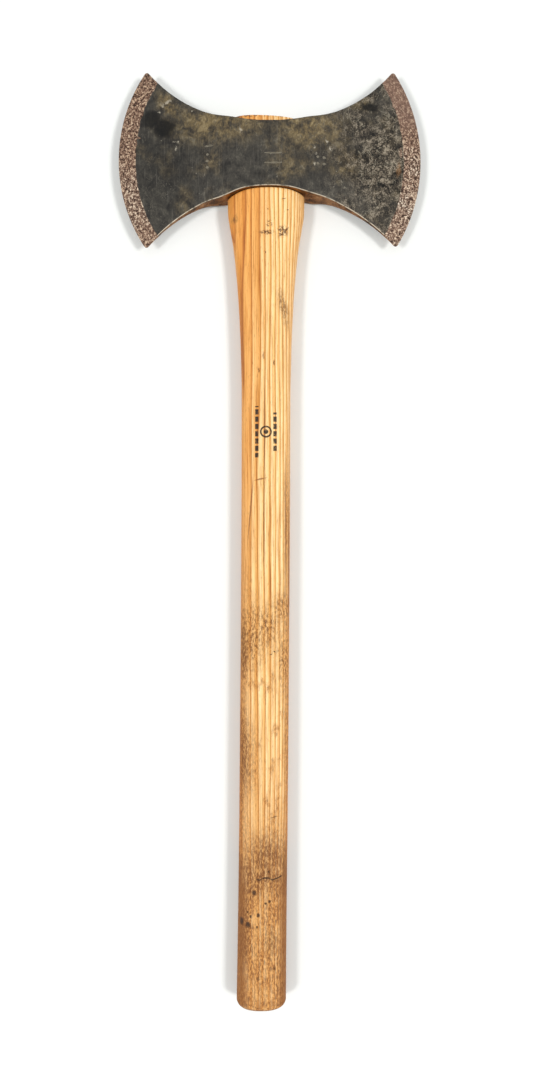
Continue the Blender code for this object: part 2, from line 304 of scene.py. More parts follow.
def colour(code):
    """Linear colour of a six-digit sRGB code."""
    shares = [int(code[i : i + 2], 16) / 255 for i in (0, 2, 4)]
    return (*[s / 12.92 if s <= 0.04045 else ((s + 0.055) / 1.055) ** 2.4 for s in shares], 1.0)


class Surface:
    """A material and short calls for the nodes that it uses. Places are in the axe's frame."""

    def __init__(self, name):
        self.material = bpy.data.materials.new(name)
        self.material.use_nodes = True
        self.tree = self.material.node_tree
        self.shader = self.tree.nodes["Principled BSDF"]
        self.place = self.node("ShaderNodeTexCoord").outputs["Object"]
        split = self.node("ShaderNodeSeparateXYZ", {0: self.place})
        self.x, self.y, self.z = split.outputs
        self.upper = self.fade(self.z, MID_Z - 0.001, MID_Z + 0.003)

    def node(self, kind, inputs=None, **settings):
        made = self.tree.nodes.new(kind)
        for key, value in settings.items():
            setattr(made, key, value)
        for key, value in (inputs or {}).items():
            self.feed(made.inputs[key], value)
        return made

    def feed(self, socket, value):
        if isinstance(value, bpy.types.NodeSocket):
            self.tree.links.new(value, socket)
        else:
            socket.default_value = value

    def attribute(self, name):
        return self.node("ShaderNodeAttribute", attribute_name=name).outputs["Fac"]

    def math(self, operation, *values):
        return self.node("ShaderNodeMath", dict(enumerate(values)), operation=operation).outputs[0]

    def times(self, *values):
        product = values[0]
        for value in values[1:]:
            product = self.math("MULTIPLY", product, value)
        return product

    def plus(self, a, b):
        return self.math("ADD", a, b)

    def most(self, *values):
        highest = values[0]
        for value in values[1:]:
            highest = self.math("MAXIMUM", highest, value)
        return highest

    def fade(self, value, low, high, start=0.0, end=1.0):
        """Start below low, end above high, and smooth between; low may be the higher of the two."""
        inputs = {"Value": value, "From Min": low, "From Max": high, "To Min": start, "To Max": end}
        return self.node("ShaderNodeMapRange", inputs, interpolation_type="SMOOTHSTEP").outputs[0]

    def window(self, value, low, high, soft):
        """1 between low and high, 0 outside."""
        rise = self.fade(value, low - soft, low + soft)
        fall = self.fade(value, high + soft, high - soft)
        return self.times(rise, fall)

    def scaled(self, size, stretch=(1, 1, 1), shift=0.0, place=None):
        inputs = {
            "Vector": place or self.place,
            "Location": (shift, shift * 1.3, -shift),
            "Scale": [1 / (size * s) for s in stretch],
        }
        return self.node("ShaderNodeMapping", inputs).outputs[0]

    def noise(self, size, detail=2.0, stretch=(1, 1, 1), shift=0.0, roughness=0.5, twist=0.0, place=None):
        """Noise of about 0.3 to 0.7; size is the width of its waves."""
        inputs = {
            "Vector": self.scaled(size, stretch, shift, place),
            "Scale": 1.0,
            "Detail": detail,
            "Roughness": roughness,
            "Distortion": twist,
        }
        return self.node("ShaderNodeTexNoise", inputs).outputs[0]

    def wobbled(self, size, amount, detail=2.0):
        """The place, moved about by noise."""
        inputs = {"Vector": self.scaled(size), "Scale": 1.0, "Detail": detail}
        wave = self.node("ShaderNodeTexNoise", inputs).outputs["Color"]
        centred = self.node("ShaderNodeVectorMath", {0: wave, 1: (0.5, 0.5, 0.5)}, operation="SUBTRACT")
        inputs = {0: centred.outputs[0], 1: (amount * 2,) * 3, 2: self.place}
        return self.node("ShaderNodeVectorMath", inputs, operation="MULTIPLY_ADD").outputs[0]

    def mixed(self, share, a, b, blend="MIX"):
        made = self.node("ShaderNodeMix", data_type="RGBA", blend_type=blend)
        for socket, value in ((0, share), (6, a), (7, b)):
            self.feed(made.inputs[socket], value)
        return made.outputs[2]

    def ramp(self, value, *stops):
        made = self.node("ShaderNodeValToRGB", {0: value})
        elements = made.color_ramp.elements
        while len(elements) < len(stops):
            elements.new(0.5)
        for element, (position, shade) in zip(elements, stops):
            element.position = position
            element.color = shade
        return made.outputs[0]

    def oval(self, x, y, half_x, half_y, soft=0.35, turn=0.0, place=None):
        """1 inside an oval of the axe's plan, 0 outside."""
        inputs = {
            "Vector": place or self.place,
            "Location": (x, y, 0.0),
            "Rotation": (0.0, 0.0, turn),
            "Scale": (half_x, half_y, 1e3),
        }
        local = self.node("ShaderNodeMapping", inputs, vector_type="TEXTURE").outputs[0]
        length = self.node("ShaderNodeVectorMath", {0: local}, operation="LENGTH").outputs["Value"]
        return self.fade(length, 1 + soft, 1 - soft)

    def ovals(self, spots, soft=0.35, place=None):
        """1 inside any of several (x, y, half_x, half_y) ovals on the upper side."""
        found = self.most(*[self.oval(*spot[:4], soft, *spot[4:], place=place) for spot in spots])
        return self.times(found, self.upper)

    def bump(self, height, distance, normal=None):
        inputs = {"Height": height, "Distance": distance, "Strength": 1.0}
        if normal:
            inputs["Normal"] = normal
        return self.node("ShaderNodeBump", inputs).outputs[0]

    def done(self, base, roughness, metallic, normal=None):
        self.feed(self.shader.inputs["Base Color"], base)
        self.feed(self.shader.inputs["Roughness"], roughness)
        self.feed(self.shader.inputs["Metallic"], metallic)
        if normal:
            self.feed(self.shader.inputs["Normal"], normal)
        return self.material


# Steel

# Places on the upper cheek as (x, y, half_x, half_y), with a turn in radians where there is one.
WORN_BROWN = [
    (0.390, 0.050, 0.017, 0.044), (0.384, -0.040, 0.020, 0.030), (0.410, 0.096, 0.007, 0.014, -0.9),
    (0.352, -0.074, 0.012, 0.012), (0.416, -0.080, 0.008, 0.018, -0.5),
]
PLAIN_DARK = [(0.352, 0.098, 0.040, 0.026), (0.352, -0.052, 0.024, 0.009)]
BLACK_SMEAR = [
    (0.3885, 0.0995, 0.0085, 0.0105), (0.3965, 0.1120, 0.0085, 0.0085),
    (0.4080, -0.0950, 0.0045, 0.0085),
]
ORANGE_STAIN = [(0.4290, -0.1106, 0.0070, 0.0016, 0.61), (0.3500, -0.1222, 0.0060, 0.0020)]
PALE_FLECKS = [
    (0.4130, 0.0965, 0.0010, 0.0050, 0.4), (0.4100, 0.1015, 0.0026, 0.0009, 0.5),
    (0.3810, 0.0270, 0.0030, 0.0010, 0.3), (0.4032, 0.1044, 0.0009, 0.0012),
    (0.3749, 0.0883, 0.0007, 0.0024), (0.3690, 0.0880, 0.0020, 0.0008), (0.3725, -0.0535, 0.0012, 0.0010),
    (0.3665, -0.0570, 0.0020, 0.0010), (0.3505, -0.0415, 0.0018, 0.0008), (0.3600, -0.0432, 0.0009, 0.0007),
    (0.4040, 0.0730, 0.0009, 0.0016), (0.3655, -0.0420, 0.0010, 0.0007),
]

# Where pits are thick, on both cheeks.
PIT_ZONE = (0.352, -0.104, 0.034, 0.026)
PIT_HEART = (0.356, -0.096, 0.013, 0.011)
BEVEL_SPUR = [(0.3804, 0.1243, 0.0013, 0.0020), (0.3650, -0.1235, 0.0040, 0.0020)]


def pitted(s, rough):
    """1 in black pits, thick on the middle of the right bit and few elsewhere."""
    zone = s.times(s.fade(rough, 0.44, 0.38), s.oval(*PIT_ZONE, 0.6))
    small = s.fade(s.noise(0.0021, 2.0, shift=6.3), 0.47, 0.40)
    return s.most(zone, s.fade(rough, 0.31, 0.27), s.times(s.oval(*PIT_HEART, 0.6), small))


def scale_colour(s, mottle, fine, rough, pits, place):
    """Forge scale: soft dark grey where it is whole, olive-brown where it has worn."""
    whole = s.ramp(
        mottle,
        (0.36, colour("2e2c29")), (0.47, colour("403d38")),
        (0.56, colour("4d4942")), (0.68, colour("6d685d")),
    )
    worn = s.ramp(
        mottle,
        (0.36, colour("3d362b")), (0.46, colour("5e523f")),
        (0.54, colour("83714f")), (0.66, colour("ae9b76")),
    )
    wear = s.times(s.ovals(WORN_BROWN, 0.7, place), 0.95)
    wear = s.most(wear, s.times(s.fade(s.noise(0.030, 3.0, shift=3.1), 0.46, 0.66), 0.55))
    wear = s.times(wear, s.fade(s.noise(0.005, 4.0, shift=5.2, twist=0.8), 0.34, 0.54, 0.35, 1.0))
    base = s.mixed(wear, whole, worn)
    dark = s.ramp(mottle, (0.40, colour("232221")), (0.60, colour("35332f")))
    base = s.mixed(s.times(s.ovals(PLAIN_DARK, 0.8, place), 0.55), base, dark)

    # Right bit: thick scale has flaked into light islands between black pits.
    grit = s.noise(0.0013, 3.0, shift=7.3, roughness=0.75)
    flaked = s.ramp(
        s.plus(s.times(rough, 0.58), s.times(grit, 0.42)),
        (0.42, colour("131210")), (0.475, colour("3b352d")),
        (0.525, colour("675c4d")), (0.58, colour("ab9e8a")),
    )
    thick = s.oval(0.355, -0.108, 0.042, 0.030, 0.7, place=place)
    share = s.most(s.fade(s.noise(0.018, 3.0, shift=9.4), 0.40, 0.60, 0.20, 0.70), s.times(thick, 0.90))
    base = s.mixed(s.times(s.fade(s.y, -0.035, -0.090), share), base, flaked)
    base = s.mixed(s.times(pits, 0.85), base, colour("100f0d"))
    swirl = s.noise(0.011, 4.0, shift=2.6, roughness=0.6, twist=0.5)
    curl = s.fade(s.math("ABSOLUTE", s.math("SUBTRACT", swirl, 0.5)), 0.012, 0.003)
    curl = s.times(curl, s.fade(s.noise(0.014, 2.0, shift=4.9), 0.46, 0.58))
    base = s.mixed(s.times(curl, s.fade(s.y, -0.050, -0.085, 0.12, 0.60)), base, colour("b5ab95"))

    # Faint pale scratches along X, and flecks.
    scratch = s.fade(s.noise(0.0011, 1.0, (30, 1, 1), shift=6.0), 0.62, 0.74)
    base = s.mixed(s.times(scratch, 0.16), base, colour("9a9386"))
    fleck = s.fade(s.noise(0.0013, 1.0, shift=8.8), 0.72, 0.78)
    base = s.mixed(s.times(fleck, s.fade(s.noise(0.02, 1.0, shift=4.4), 0.48, 0.62)), base, colour("a39b8b"))
    worn_rims = s.times(s.ovals(PALE_FLECKS, 0.6, s.wobbled(0.0022, 0.0022, 3.0)), s.fade(fine, 0.42, 0.56))
    base = s.mixed(s.times(worn_rims, 0.8), base, colour("c9bfab"))
    # Painted highlight: the walls and floors of the punch marks are painted pale.
    return s.mixed(s.times(s.attribute("punch_highlight"), 0.65), base, colour("a39a88"))


def bevel_colour(s):
    """Ground steel under light rust, speckled by the grinding."""
    coarse = s.noise(0.0026, 2.0, shift=0.9, roughness=0.75)
    fine = s.noise(0.0012, 1.0, shift=3.9)
    grain = s.plus(s.times(coarse, 0.6), s.times(fine, 0.4))
    rust = s.ramp(
        grain,
        (0.40, colour("38271d")), (0.46, colour("654a3c")),
        (0.53, colour("8f705b")), (0.61, colour("cdb193")),
    )
    bright = s.ramp(
        grain,
        (0.41, colour("2a1e18")), (0.47, colour("6b574a")),
        (0.53, colour("a38d79")), (0.60, colour("f4e8d4")),
    )
    pale = s.fade(s.noise(0.016, 2.0, (1.6, 1, 1), shift=2.2), 0.40, 0.60, 0.35, 1.0)
    pale = s.times(pale, s.fade(s.x, 0.385, 0.325, 0.15, 0.85), s.fade(s.y, 0.05, -0.05, 0.45, 1.0))
    base = s.mixed(pale, rust, bright)
    calm = s.times(s.fade(s.x, 0.375, 0.400), s.fade(s.y, -0.05, -0.10), 0.5)
    return grain, s.mixed(calm, base, colour("86695a"))


def forged_steel():
    """Dark forge scale on the cheeks, ground and lightly rusted bevels, and a brown rim."""
    s = Surface("forged_steel")
    place = s.wobbled(0.009, 0.0042, 4.0)
    middle = s.noise(0.0100, 5.0, shift=1.7, roughness=0.58, twist=0.5)
    fine = s.noise(0.0016, 3.0, (1.6, 1, 1), shift=0.4, roughness=0.65)
    mottle = s.plus(s.times(middle, 0.68), s.times(fine, 0.32))
    rough = s.noise(0.0075, 7.0, shift=11.0, roughness=0.72, twist=0.45)
    pits = pitted(s, rough)
    base = scale_colour(s, mottle, fine, rough, pits, place)
    base = s.mixed(s.times(s.ovals(BLACK_SMEAR, 0.35, place), 0.88), base, colour("141414"))
    stain = s.times(s.ovals(ORANGE_STAIN, 0.6, place), s.fade(fine, 0.40, 0.56, 0.10, 0.5))
    base = s.mixed(stain, base, colour("a87848"))

    rim = s.attribute("rim")
    lower = s.fade(s.attribute("share"), 0.6, 0.4)
    brown = s.ramp(mottle, (0.38, colour("3c2410")), (0.50, colour("764a1c")), (0.62, colour("9a682f")))
    base = s.mixed(s.fade(rim, 0.60, 0.98), base, brown)
    # Painted shade: a dark line along the arris and wall of the head's top edge.
    top_arris_shade = s.times(s.fade(rim, 0.15, 0.6), s.math("SUBTRACT", 1.0, lower))
    base = s.mixed(s.times(top_arris_shade, 0.7), base, colour("211a13"))
    # Painted highlight: a pale line, broken up by noise, along the arris of the head's lower edge.
    broken = s.fade(s.noise(0.005, 3.0), 0.36, 0.52, 0.25, 1.0)
    arris = s.times(s.window(rim, 0.28, 0.66, 0.12), lower, broken)
    base = s.mixed(arris, base, colour("cdbfa9"))

    grain, ground = bevel_colour(s)
    reach = s.math("MULTIPLY", s.math("SUBTRACT", s.attribute("along"), BEVEL_START), EDGE_REACH)
    line = s.plus(reach, s.math("MULTIPLY_ADD", s.noise(0.006, 4.0, shift=1.1), 0.0030, -0.0015))
    bevel = s.most(s.fade(line, -0.0002, 0.0003), s.ovals(BEVEL_SPUR, 0.4, place))
    bevel = s.times(bevel, s.fade(rim, 0.95, 0.6))
    base = s.mixed(bevel, base, ground)

    relief = s.bump(mottle, 0.00045)
    relief = s.bump(s.times(grain, bevel), 0.00035, relief)
    relief = s.bump(pits, -0.00035, relief)
    s.shader.inputs["Specular IOR Level"].default_value = 0.35
    return s.done(base, s.fade(mottle, 0.40, 0.62, 0.62, 0.44), s.fade(bevel, 0.0, 1.0, 0.55, 0.35), relief)


def wedge_steel():
    """Bright steel struck by a hammer, with a little rust."""
    s = Surface("wedge_steel")
    mottle = s.noise(0.0018, 4.0, roughness=0.6)
    base = s.ramp(mottle, (0.38, colour("4c3a2c")), (0.50, colour("7c7368")), (0.64, colour("a8a095")))
    return s.done(base, s.fade(mottle, 0.4, 0.6, 0.55, 0.35), 0.75, s.bump(mottle, 0.0002))


# Wood

PITH_Y = -0.085  # the tree's centre, which the growth rings curve round
PITH_Z = -0.020
RING_SPREAD = 2.1  # rings lie further apart away from the tree's centre

# Dark marks on the haft's upper side as (x, y, half_x, half_y), and the turn where there is one.
NICKS = [
    (0.2876, 0.0030, 0.0008, 0.0030, 0.2), (0.2862, 0.0000, 0.0007, 0.0022, -0.3),
    (0.2900, -0.0158, 0.0009, 0.0030, 0.9), (0.2850, -0.0105, 0.0007, 0.0016, 0.4),
    (0.3087, 0.0016, 0.0005, 0.0005), (0.3087, -0.0171, 0.0005, 0.0005),
    (0.3190, -0.0134, 0.0004, 0.0019, 0.3), (-0.2590, -0.0048, 0.0004, 0.0034, 0.1),
    (-0.4007, -0.0040, 0.0016, 0.0014), (0.1720, 0.0060, 0.0030, 0.0007),
    (0.1650, -0.0040, 0.0024, 0.0006), (0.1580, 0.0100, 0.0020, 0.0006),
]
PITS = [
    (-0.3294, 0.0146, 0.0021, 0.0019), (-0.3378, 0.0002, 0.0015, 0.0013), (-0.3396, 0.0039, 0.0012, 0.0014),
    (-0.3504, 0.0106, 0.0017, 0.0013), (-0.3485, 0.0202, 0.0009, 0.0008), (-0.3522, 0.0179, 0.0010, 0.0009),
    (-0.3597, 0.0202, 0.0027, 0.0020), (-0.3616, 0.0118, 0.0010, 0.0008), (-0.3578, 0.0262, 0.0034, 0.0017),
    (-0.1045, -0.0044, 0.0006, 0.0006), (-0.1074, -0.0012, 0.0005, 0.0007),
    (-0.3100, 0.0010, 0.0008, 0.0007),
]
STAINS = [
    (0.300, 0.0330, 0.0032, 0.0028), (0.2170, -0.0128, 0.0160, 0.0036, 0.20),
    (-0.3070, -0.0135, 0.0110, 0.0016),
    (-0.3750, -0.0012, 0.0120, 0.0048), (-0.0900, 0.0245, 0.0180, 0.0018),
]
SMUDGES = [
    (0.2868, 0.0028, 0.0022, 0.0062, 0.1), (0.2882, -0.0122, 0.0048, 0.0048),
    (0.2950, 0.0002, 0.0030, 0.0030), (0.2680, 0.0046, 0.0010, 0.0012),
]
GREY_STAINS = [
    (-0.0640, -0.0120, 0.0140, 0.0090), (-0.0900, 0.0160, 0.0300, 0.0120), (-0.0820, 0.0020, 0.0200, 0.0110),
    (-0.1150, -0.0140, 0.0300, 0.0055), (-0.1050, 0.0240, 0.0450, 0.0040),
]
DEEP_STAINS = [
    (-0.3180, 0.0210, 0.0200, 0.0110), (-0.3190, -0.0150, 0.0120, 0.0060), (-0.2960, 0.0020, 0.0180, 0.0170),
    (-0.3600, 0.0240, 0.0300, 0.0050), (-0.1080, 0.0245, 0.0200, 0.0040), (-0.2000, 0.0240, 0.0350, 0.0045),
    (-0.3150, 0.0040, 0.0120, 0.0180),
]
BROWN_STAINS = [
    (-0.2080, 0.0200, 0.0400, 0.0095), (-0.3000, 0.0230, 0.0500, 0.0080), (0.0200, -0.0165, 0.0450, 0.0030),
    (-0.1900, -0.0165, 0.0600, 0.0030), (-0.0950, -0.0170, 0.0500, 0.0050),
    (-0.2250, 0.0250, 0.1500, 0.0040),
]
CHECKS = [
    (0.1030, 0.0050, 0.0460, 0.00055), (0.0565, 0.0085, 0.00070, 0.0052, 0.25),
    (0.0270, 0.0180, 0.0270, 0.00060, -0.09), (0.0200, 0.0054, 0.0500, 0.00040),
    (0.0080, -0.0150, 0.0600, 0.00045), (-0.0250, -0.0180, 0.0480, 0.00050),
]


def wood_rings(s):
    """Place within a growth ring, from 0 where it starts to 1, and the bent grain's y."""
    drift = s.noise(0.045, 2.0, (6, 1, 1), shift=2.0)
    wander = s.noise(0.012, 2.0, (14, 1, 1), shift=5.0)
    far, near = s.math("MULTIPLY_ADD", drift, 0.010, -0.005), s.math("MULTIPLY_ADD", wander, 0.0030, -0.0015)
    y = s.plus(s.y, s.plus(far, near))
    across, up = s.math("SUBTRACT", y, PITH_Y), s.math("SUBTRACT", s.z, PITH_Z)
    radius = s.math("SQRT", s.plus(s.times(across, across), s.times(up, up)))
    count = s.math("SUBTRACT", 62.35, s.math("DIVIDE", RING_SPREAD, radius))
    count = s.plus(count, s.times(s.noise(0.006, 1.0, (60, 1, 1), shift=1.0), 0.9))
    return s.math("FRACT", count), y


def printed_mark(s):
    """A plain ring and dot between two rows of dashes, in dark ink: a mark of no maker."""
    x, y = s.math("SUBTRACT", s.x, 0.1005), s.math("SUBTRACT", s.y, 0.0035)
    radius = s.math("SQRT", s.plus(s.times(x, x), s.times(y, y)))
    ink = s.most(s.window(radius, 0.0040, 0.0056, 0.0001), s.fade(radius, 0.0023, 0.0021))
    dash = s.math("FRACT", s.math("DIVIDE", s.x, 0.0068))
    dash = s.window(dash, 0.14, 0.86, 0.02)
    for offset, reach in ((0.0085, 0.0240), (-0.0085, 0.0180)):
        row = s.times(s.window(y, offset - 0.0016, offset + 0.0016, 0.0001), dash)
        ink = s.most(ink, s.times(row, s.window(x, -reach, reach, 0.0001)))
    worn = s.fade(s.noise(0.0011, 3.0, (2, 1, 1), shift=3.3), 0.32, 0.42, 0.55, 1.0)
    return s.times(ink, worn, s.upper)


def hickory():
    """Oiled hickory: orange heartwood on the left, cream sapwood on the right, grimy towards the butt."""
    s = Surface("hickory")
    ring, y = wood_rings(s)
    place = s.wobbled(0.0030, 0.0012, 3.0)
    lean = s.math("MULTIPLY_ADD", s.x, 0.042, -0.0135)  # the heartwood runs out of the left side
    heart = s.plus(s.plus(y, lean), s.math("MULTIPLY_ADD", s.noise(0.02, 2.0, (8, 1, 1)), 0.012, -0.006))
    heart = s.fade(heart, -0.010, 0.020)
    sap = s.ramp(
        ring,
        (0.00, colour("b06824")), (0.10, colour("dc9843")), (0.30, colour("f8c57c")),
        (0.80, colour("ffdca2")), (1.00, colour("e8ae62")),
    )
    core = s.ramp(
        ring,
        (0.00, colour("9c5520")), (0.10, colour("cc8036")), (0.30, colour("e59a46")),
        (0.80, colour("f3b160")), (1.00, colour("c47a34")),
    )
    base = s.mixed(heart, sap, core)

    # Fibres: fine light and dark streaks along the haft, and pores as short dark dashes.
    streak = s.noise(0.0011, 4.0, (44, 1, 1), shift=1.3, roughness=0.70)
    dark_fibre, light_fibre = (0.66, 0.50, 0.32, 1), (1.08, 1.14, 1.28, 1)
    fibre = s.ramp(streak, (0.34, dark_fibre), (0.50, (1, 1, 1, 1)), (0.66, light_fibre))
    base = s.mixed(1.0, base, fibre, "MULTIPLY")
    pore = s.fade(s.noise(0.00060, 1.0, (9, 1, 1), shift=4.1), 0.62, 0.74)
    base = s.mixed(s.times(pore, 0.45), base, colour("8a5220"))

    # Painted shade on the flanks, darker where they turn away from the top; the lower half is grimy in
    # patches.
    flank_shade = s.fade(s.z, MID_Z + 0.0108, MID_Z + 0.0040)
    flank_shade = s.times(flank_shade, s.fade(s.x, 0.10, -0.10, 0.35, 0.75))
    base = s.mixed(flank_shade, base, colour("b5702c"))
    patch = s.noise(0.010, 4.0, (1.8, 1, 1), shift=8.0, roughness=0.6)
    speck = s.noise(0.0013, 4.0, (2.8, 1, 1), shift=2.9, roughness=0.74)
    grip = s.fade(s.x, -0.205, -0.345)
    grime = s.times(grip, s.fade(patch, 0.34, 0.60, 0.62, 1.0))
    grime = s.most(grime, s.times(s.ovals(GREY_STAINS, 0.8, place), s.fade(speck, 0.58, 0.42, 0.60, 1.0)))
    grime = s.most(grime, s.times(s.ovals(BROWN_STAINS, 0.9, place), 0.70))
    grime = s.most(grime, s.times(s.fade(s.x, 0.02, -0.08), s.fade(patch, 0.50, 0.68), 0.8))
    dirt = s.ramp(speck, (0.38, colour("4a2708")), (0.49, colour("a56526")), (0.61, colour("e2a85e")))
    base = s.mixed(s.times(grime, 0.86), base, dirt)
    deep = s.times(s.ovals(DEEP_STAINS, 0.8, place), s.fade(speck, 0.62, 0.40, 0.25, 0.9))
    base = s.mixed(deep, base, colour("74451a"))
    # Darker towards both sides in the lower half.
    sides = s.times(s.math("ABSOLUTE", s.math("SUBTRACT", s.y, HAFT_AXIS_Y + 0.003)), grip)
    base = s.mixed(s.fade(sides, 0.0120, 0.0195, 0.0, 0.72), base, colour("85521f"))
    base = s.mixed(s.fade(s.x, -0.10, -0.30), base, s.mixed(1.0, base, (0.95, 0.90, 0.86, 1), "MULTIPLY"))
    butt = s.fade(s.x, BUTT_X + 0.0042, BUTT_X + 0.0010, 0.0, 0.85)
    base = s.mixed(butt, base, colour("5c3615"))

    # Dents, checks and stains.
    stain = s.times(s.ovals(STAINS, 0.7, place), s.fade(speck, 0.58, 0.42, 0.2, 0.85))
    base = s.mixed(stain, base, colour("7a4f22"))
    check = s.ovals(CHECKS, 0.6, s.wobbled(0.006, 0.0005, 2.0))
    base = s.mixed(s.times(check, 0.75), base, colour("84481a"))
    smudge = s.times(s.ovals(SMUDGES, 0.5, place), s.fade(s.noise(0.0016, 3.0, shift=5.6), 0.56, 0.47))
    base = s.mixed(s.times(smudge, 0.85), base, colour("4e2a10"))
    nick = s.times(s.ovals(NICKS, 0.6, place), s.fade(speck, 0.56, 0.44, 0.5, 1.0))
    base = s.mixed(s.times(nick, 0.9), base, colour("5a2f0e"))
    hole = s.ovals(PITS, 0.4, place)
    base = s.mixed(s.times(hole, 0.88), base, colour("331c0c"))
    base = s.mixed(s.times(s.attribute("crack"), 0.9), base, colour("2e1a0c"))
    base = s.mixed(s.times(printed_mark(s), 0.95), base, colour("17110d"))
    frayed = s.fade(s.x, HEAD_TOP_X + 0.0040, HEAD_TOP_X + 0.0056)
    frayed = s.times(frayed, s.fade(s.noise(0.0022, 3.0, shift=1.0), 0.50, 0.56))
    base = s.mixed(s.times(frayed, 0.8), base, colour("4a2c12"))

    # Sawn ends: darker, with the pores as dots.
    normal = s.node("ShaderNodeNewGeometry").outputs["Normal"]
    facing = s.node("ShaderNodeSeparateXYZ", {0: normal}).outputs[0]
    end = s.fade(s.math("ABSOLUTE", facing), 0.55, 0.9)
    base = s.mixed(s.times(end, 0.5), base, s.ramp(speck, (0.4, colour("7a4f28")), (0.6, colour("c08a52"))))

    relief = s.bump(streak, 0.00022)
    relief = s.bump(s.fade(ring, 0.0, 0.12), 0.00010, relief)
    relief = s.bump(s.most(hole, nick, check), -0.00035, relief)
    roughness = s.fade(grime, 0.0, 1.0, 0.52, 0.68)
    s.shader.inputs["Specular IOR Level"].default_value = 0.35
    return s.done(base, roughness, 0.0, relief)


def wedge_wood():
    """End grain of a pale dry wedge."""
    s = Surface("wedge_wood")
    layer = s.noise(0.0012, 3.0, (1, 12, 1), shift=2.0)
    base = s.ramp(layer, (0.36, colour("8a5f34")), (0.50, colour("bf9058")), (0.64, colour("dcb784")))
    dirt = s.fade(s.noise(0.006, 3.0, shift=6.0), 0.50, 0.62)
    base = s.mixed(s.times(dirt, 0.5), base, colour("5e4126"))
    return s.done(base, 0.75, 0.0, s.bump(layer, 0.0003))


# Head


def arc_drop(radius, distance):
    """How far a circle of that radius has fallen away from its tangent at that distance."""
    return radius - np.sqrt(radius**2 - distance**2)


def waist_x(bit, reach, top):
    """Where the head's top or bottom edge is, along X, at a distance from the centre line."""
    if top:
        return HEAD_TOP_X + arc_drop(bit.top_arc, np.maximum(reach - TOP_FLAT_HALF, 0.0))
    lug = bit.lug_drop * np.exp(-(((reach - bit.lug_y) / LUG_SPREAD) ** 2))
    return HEAD_BOTTOM_X - arc_drop(bit.bottom_arc, reach) - lug


def section_length(bit, along):
    low, high = along * bit.bottom_corner_y, along * bit.top_corner_y
    return np.hypot(waist_x(bit, high, True) - waist_x(bit, low, False), high - low)


def outline(bit, along, share):
    """(x, reach) of a point of the plan: along runs to the cutting edge, share from bottom to top."""
    low, high = along * bit.bottom_corner_y, along * bit.top_corner_y
    length = section_length(bit, along)
    sagitta = EDGE_REACH - (bit.bottom_corner_y + bit.top_corner_y) / 2
    radius = (length**2 / 4 + sagitta**2) / (2 * sagitta)
    bulge = (sagitta - arc_drop(radius, np.abs(share - 0.5) * length)) * along**EDGE_BULGE_POWER
    x = mix(waist_x(bit, low, False), waist_x(bit, high, True), share)
    reach = np.minimum(mix(low, high, share) + bulge, EDGE_REACH)
    return np.stack(np.broadcast_arrays(x, reach), -1)


def tip_shift(from_edge, from_waist, edge_way, waist_way):
    """How points near a tip move so that the tip is round."""
    layer = np.minimum(from_edge, from_waist)
    radius = CORNER_RADIUS - layer
    run = np.maximum(from_edge, from_waist) - layer
    half_angle = math.acos(float(edge_way @ waist_way)) / 2
    reach = radius / math.tan(half_angle)
    inside = (radius > 1e-7) & (run < reach)
    radius, reach = np.where(inside, radius, 1.0), np.where(inside, reach, 1.0)
    way = np.where((from_waist > from_edge)[..., None], edge_way, waist_way)
    middle = unit(edge_way + waist_way)
    centre = middle * (radius / math.sin(half_angle))[..., None]
    turn = ((1 - run / reach) * (math.pi / 2 - half_angle))[..., None]
    spoke = unit(way * reach[..., None] - centre)
    outward = unit(-middle + spoke * (spoke @ middle)[..., None])
    moved = centre + radius[..., None] * (spoke * np.cos(turn) + outward * np.sin(turn))
    return np.where(inside[..., None], moved - way * run[..., None], 0.0)


def rounded_outline(bit, along, share):
    sharp = outline(bit, along, share)
    point = sharp.copy()
    for end in (0.0, 1.0):
        tip = outline(bit, 1.0, end)
        edge_way = unit(outline(bit, 1.0, abs(end - 0.02)) - tip)
        waist_way = unit(outline(bit, 0.98, end) - tip)
        from_edge = np.linalg.norm(outline(bit, 1.0, share) - sharp, axis=-1)
        from_waist = np.linalg.norm(outline(bit, along, end) - sharp, axis=-1)
        shift = tip_shift(from_edge, from_waist, edge_way, waist_way)
        point += np.where((np.round(share) == end)[..., None], shift, 0.0)
    return point


def section_loop(along, half, length):
    """Share along the cheek, height over the middle, and nearness to the rim, round each section."""
    arris = np.minimum(ARRIS_RADIUS, half * 0.5)
    angle = np.radians(np.linspace(0, 90, ARRIS_POINTS, endpoint=False))[None, :]
    start = arris * (1 - np.cos(angle)) / length
    start_height = half - arris + arris * np.sin(angle)
    cheek = mix(arris / length, 1 - arris / length, np.linspace(0, 1, CHEEK_POINTS)[None, :])
    wall = (half - arris) * np.linspace(1, -1, WALL_POINTS + 2)[None, 1:-1]
    upper = np.concatenate([start, cheek, 1 - start[:, ::-1]], 1)
    upper_height = np.concatenate([start_height, half + 0 * cheek, start_height[:, ::-1]], 1)
    turn = 1 - angle / (math.pi / 2)
    upper_rim = np.concatenate([turn, np.zeros((1, CHEEK_POINTS)), turn[:, ::-1]], 1) + 0 * upper
    share = np.concatenate([upper, 1 + 0 * wall, upper[:, ::-1], 0 * wall], 1)
    height = np.concatenate([upper_height, wall, -upper_height[:, ::-1], -wall], 1)
    rim = np.concatenate([upper_rim, 1 + 0 * wall, upper_rim[:, ::-1], 1 + 0 * wall], 1)
    crown = CHEEK_CROWN * np.clip((along - 0.3) / 0.3, 0.0, 1.0)
    return share, height * (1 - crown * (2 * share - 1) ** 2), rim


